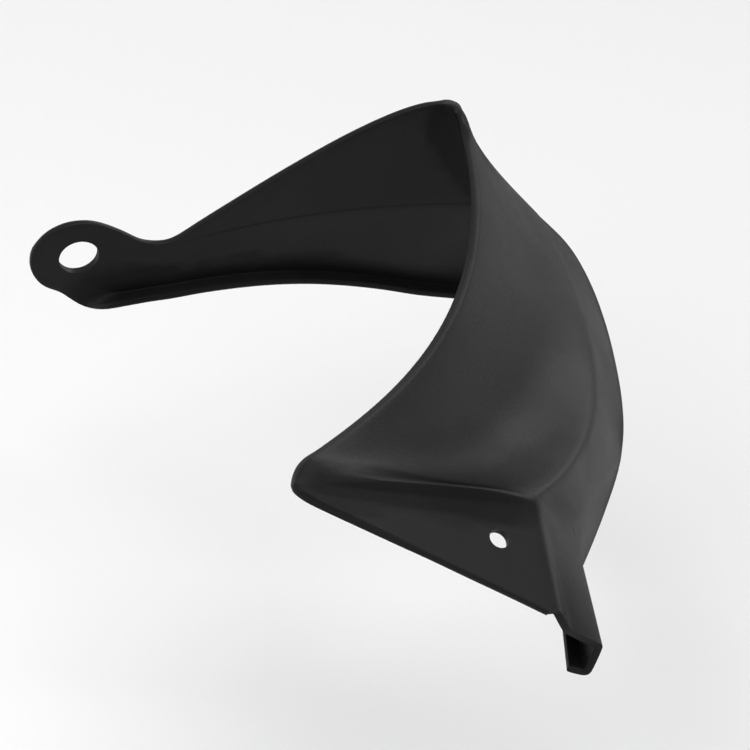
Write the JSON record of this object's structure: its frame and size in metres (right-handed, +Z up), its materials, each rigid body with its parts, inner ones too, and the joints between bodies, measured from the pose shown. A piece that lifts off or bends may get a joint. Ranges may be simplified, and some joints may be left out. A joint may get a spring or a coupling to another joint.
{
  "type": "motorcycle hand guard",
  "caption": "Moulded black plastic guard that wraps the front of a handlebar grip and its lever, held at the bar end and by an inboard plate.",
  "frame": {"origin": "centre of the bar end hole, on the ear's inner face, which seats on the handlebar's end", "axes": "+X inboard along the handlebar and the hole's axis, +Y forward, +Z up; the guard is for the rider's left hand"},
  "size_m": [0.2217, 0.1911, 0.0967],
  "materials": {
    "moulded_black": "satin moulded with a fine grain"
  },
  "bodies": {
    "root": {"guard_shell": "moulded_black"}
  },
  "joints": []
}
